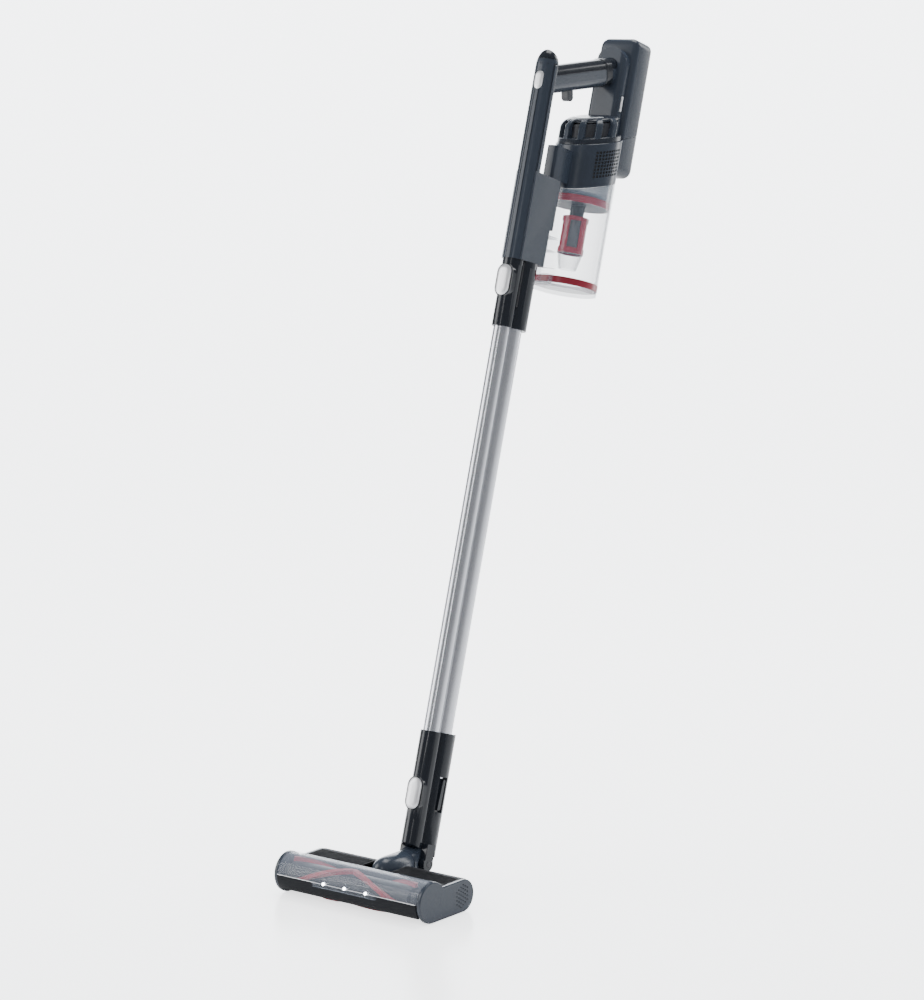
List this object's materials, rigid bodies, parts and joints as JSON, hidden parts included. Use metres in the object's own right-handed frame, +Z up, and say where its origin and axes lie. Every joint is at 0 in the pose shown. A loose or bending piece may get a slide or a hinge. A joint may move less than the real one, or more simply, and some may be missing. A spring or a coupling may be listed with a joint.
{
  "type": "cordless stick vacuum cleaner",
  "caption": "Upright cordless stick vacuum: lit brush-roller floor head on a tilting, steering neck, aluminium tube, and a handheld unit with clear dust cup, motor and battery.",
  "frame": {"origin": "on the floor, under the middle of the whole object's box, with the stick leaning back in use", "axes": "+Z up, +X to the object's right hand side seen from the user, -Y forwards towards the floor head, +Y back towards the user"},
  "size_m": [0.25, 0.6582, 1.1313],
  "materials": {
    "slate_shell": "satin",
    "dark_shell": "fine satin",
    "gloss_black": "gloss",
    "silver_tube": "satin anodised",
    "silver_button": "brushed",
    "clear_cup_plastic": "clear gloss",
    "clear_window_plastic": "clear gloss",
    "red_plastic": "translucent gloss",
    "red_seal_rubber": "satin",
    "pale_lid_plastic": "satin",
    "steel_mesh": "woven",
    "red_bristles": "tufted",
    "black_plastic": "matt",
    "black_rubber": "matt",
    "lamp_white": "frosted",
    "grey_foam": "open foam",
    "steel_pin": "ground",
    "green_board": "satin",
    "cell_wrap": "gloss"
  },
  "bodies": {
    "handheld": {"tube_socket": "gloss_black", "spine_front_shell": "slate_shell", "spine_rear_strip": "slate_shell", "spine_top_cap": "gloss_black", "duct_housing": "dark_shell", "handle_top_shell": "gloss_black", "handle_lower_shell": "slate_shell", "battery_dock": "slate_shell", "battery_cradle": "slate_shell", "charge_socket": "black_plastic", "motor_housing": "slate_shell", "suction_motor": "steel_pin", "control_board": "green_board"},
    "tube_button": {"tube_release_button": "silver_button"},
    "mode_switch": {"mode_button": "silver_button"},
    "cup_lever": {"cup_release_lever": "dark_shell"},
    "trigger_blade": {"trigger": "dark_shell"},
    "battery_latch": {"battery_release_button": "silver_button"},
    "fan": {"fan_rotor": "steel_pin"},
    "battery": {"battery_case": "slate_shell", "battery_cells": "cell_wrap"},
    "rear_cap": {"exhaust_cap": "dark_shell", "exhaust_filter": "grey_foam"},
    "cup": {"clear_cup": "clear_cup_plastic", "upper_red_ring": "red_plastic", "cyclone_head": "black_plastic", "cyclone_cage": "red_plastic", "mesh_screen": "steel_mesh", "dust_cone": "clear_cup_plastic", "foam_filter": "grey_foam", "lid_hinge_pin": "steel_pin"},
    "lid": {"cup_lid": "pale_lid_plastic", "lid_seal": "red_seal_rubber"},
    "tube": {"aluminium_tube": "silver_tube", "tube_wiring": "black_rubber"},
    "connector": {"lower_connector": "gloss_black", "neck_socket": "gloss_black", "hinge_pin": "steel_pin", "air_hose": "black_rubber"},
    "head_button": {"head_release_button": "silver_button"},
    "elbow": {"elbow_rear": "gloss_black"},
    "head": {"left_end_cap": "slate_shell", "right_end_cap": "slate_shell", "head_chassis": "black_plastic", "sole_plate": "black_plastic", "rear_cover": "dark_shell", "roller_window": "clear_window_plastic", "front_bumper": "gloss_black", "led_light_bar": "clear_window_plastic", "led_strip": "lamp_white", "roller_bearings": "steel_pin", "brush_motor": "steel_pin", "drive_belt": "black_rubber", "wheel_axles": "steel_pin", "elbow_front": "gloss_black"},
    "roller": {"brush_core": "black_plastic", "bristle_rows": "red_bristles"},
    "pulley": {"motor_pulley": "black_plastic"},
    "left_wheel": {"left_rear_wheel": "black_rubber"},
    "right_wheel": {"right_rear_wheel": "black_rubber"}
  },
  "joints": [
    {"name": "tube_detach", "type": "slide", "parent": "handheld", "child": "tube", "axis": [0, -0.28, -0.96], "range_m": [0, 0.07]},
    {"name": "head_detach", "type": "slide", "parent": "tube", "child": "connector", "axis": [0, -0.28, -0.96], "range_m": [0, 0.07]},
    {"name": "stick_tilt", "type": "hinge", "parent": "connector", "child": "elbow", "pos_m": [0, -0.178, 0.0346], "axis": [1, 0, 0], "range_deg": [-9, 58]},
    {"name": "steer_swivel", "type": "hinge", "parent": "elbow", "child": "head", "pos_m": [0, -0.2001, 0.038], "axis": [0, 1, 0], "range_deg": [-45, 45]},
    {"name": "brush_spin", "type": "hinge", "parent": "head", "child": "roller", "pos_m": [0, -0.2971, 0.0254], "axis": [1, 0, 0], "continuous": true},
    {"name": "pulley_spin", "type": "hinge", "parent": "head", "child": "pulley", "pos_m": [0, -0.2401, 0.025], "axis": [1, 0, 0], "continuous": true},
    {"name": "left_wheel_spin", "type": "hinge", "parent": "head", "child": "left_wheel", "pos_m": [-0.073, -0.2311, 0.011], "axis": [1, 0, 0], "continuous": true},
    {"name": "right_wheel_spin", "type": "hinge", "parent": "head", "child": "right_wheel", "pos_m": [0.073, -0.2311, 0.011], "axis": [1, 0, 0], "continuous": true},
    {"name": "cup_slide", "type": "slide", "parent": "handheld", "child": "cup", "axis": [0, 0.96, -0.28], "range_m": [0, 0.11]},
    {"name": "lid_open", "type": "hinge", "parent": "cup", "child": "lid", "pos_m": [0, 0.11026, 0.79792], "axis": [-1, 0, 0], "range_deg": [0, 80]},
    {"name": "battery_slide", "type": "slide", "parent": "handheld", "child": "battery", "axis": [0, 0.28, 0.96], "range_m": [0, 0.12]},
    {"name": "cap_lift", "type": "slide", "parent": "handheld", "child": "rear_cap", "axis": [0, -0.0565, 0.9984], "range_m": [0, 0.03]},
    {"name": "fan_spin", "type": "hinge", "parent": "handheld", "child": "fan", "pos_m": [0, 0.19958, 0.92916], "axis": [0, -0.0565, 0.9984], "continuous": true},
    {"name": "trigger_pull", "type": "slide", "parent": "handheld", "child": "trigger_blade", "axis": [0, -0.0565, 0.9984], "range_m": [0, 0.004], "stiffness_N_per_m": 400},
    {"name": "mode_press", "type": "slide", "parent": "handheld", "child": "mode_switch", "axis": [0, 0.96, -0.28], "range_m": [0, 0.001], "stiffness_N_per_m": 600},
    {"name": "tube_release", "type": "slide", "parent": "handheld", "child": "tube_button", "axis": [0, 0.96, -0.28], "range_m": [0, 0.0018], "stiffness_N_per_m": 600},
    {"name": "head_release", "type": "slide", "parent": "connector", "child": "head_button", "axis": [0, 0.96, -0.28], "range_m": [0, 0.0018], "stiffness_N_per_m": 600},
    {"name": "cup_release", "type": "slide", "parent": "handheld", "child": "cup_lever", "axis": [0, -0.28, -0.96], "range_m": [0, 0.003], "stiffness_N_per_m": 400},
    {"name": "battery_release", "type": "slide", "parent": "handheld", "child": "battery_latch", "axis": [-1, 0, 0], "range_m": [0, 0.0015], "stiffness_N_per_m": 600}
  ],
  "couplings": [
    {"joint": "pulley_spin", "follows": "brush_spin", "ratio": 2.1667}
  ]
}
